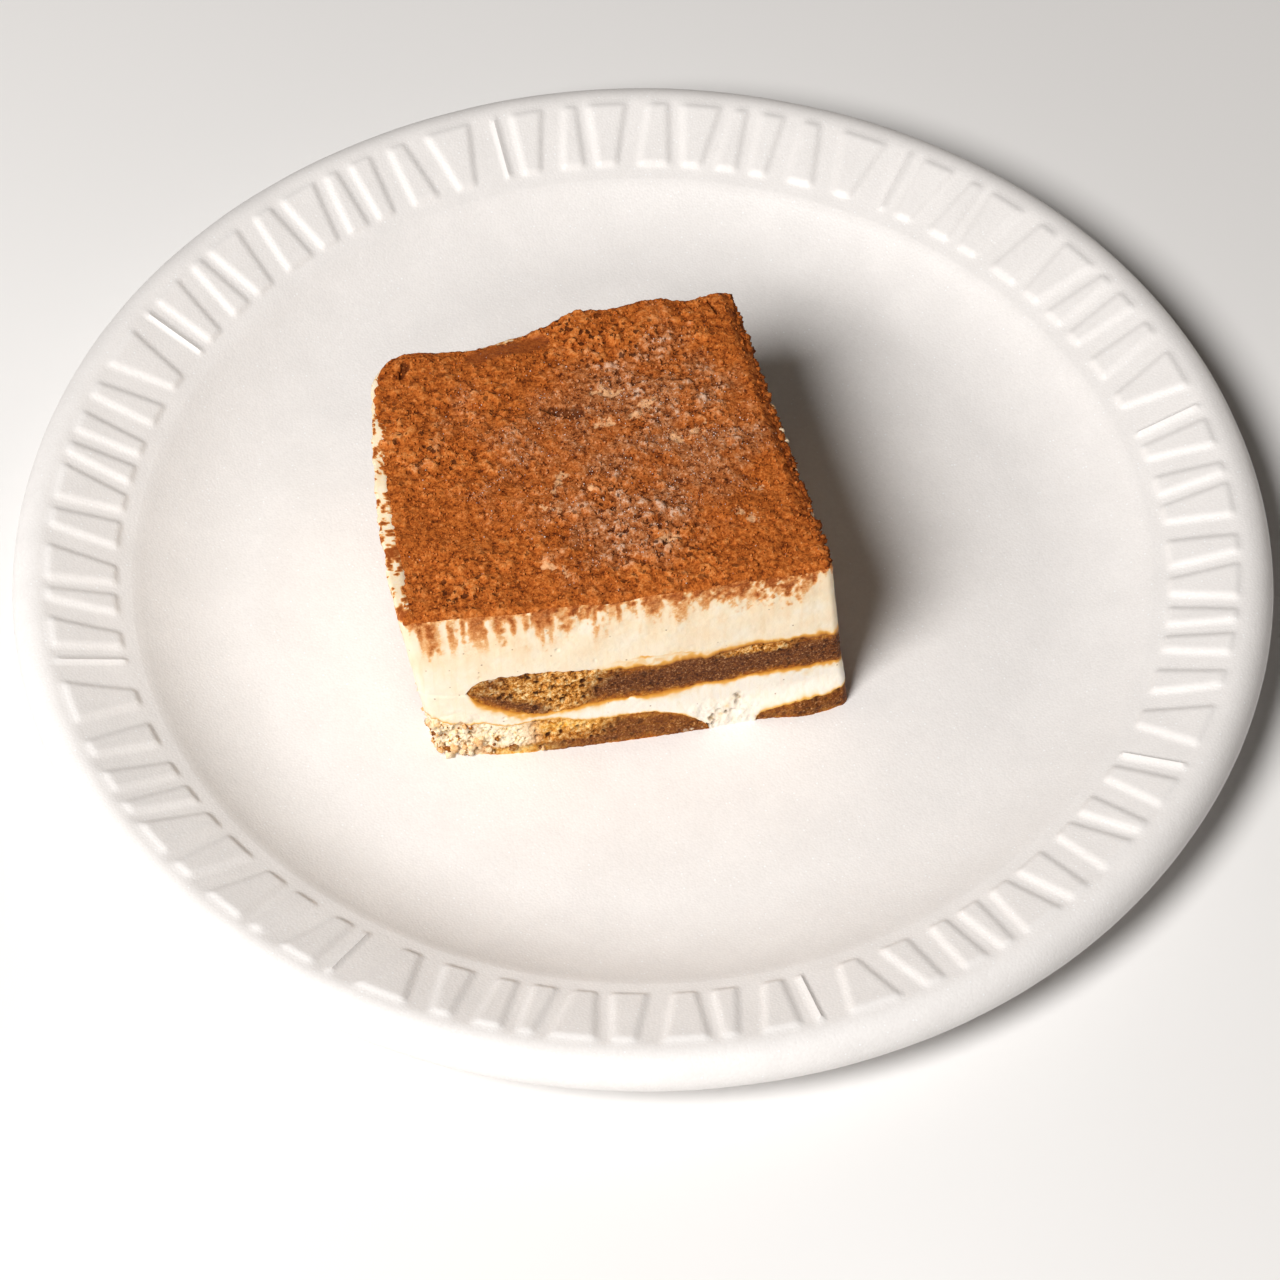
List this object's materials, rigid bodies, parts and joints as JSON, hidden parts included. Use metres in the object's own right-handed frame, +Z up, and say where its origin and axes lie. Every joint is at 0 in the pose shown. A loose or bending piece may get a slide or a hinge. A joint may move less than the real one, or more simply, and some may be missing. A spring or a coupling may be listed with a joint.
{
  "type": "tiramisu portion on a foam plate",
  "caption": "Cut square portion of layered tiramisu with a cocoa top, resting on a round white foam plate with an embossed rim.",
  "frame": {"origin": "middle of the plate's flat underside, on the surface that it stands on", "axes": "+Z up out of the plate, +X to the right along the portion's front cut, +Y away from the front cut"},
  "size_m": [0.228, 0.228, 0.0406],
  "materials": {
    "foam": "satin",
    "sponge": "matte",
    "cream": "satin",
    "cocoa": "matte"
  },
  "bodies": {
    "root": {"foam_plate": "foam", "lower_sponge_left": "sponge", "lower_sponge_right": "sponge", "lower_cream": "cream", "upper_sponge": "sponge", "upper_cream": "cream", "cocoa_dusting": "cocoa"}
  },
  "joints": []
}
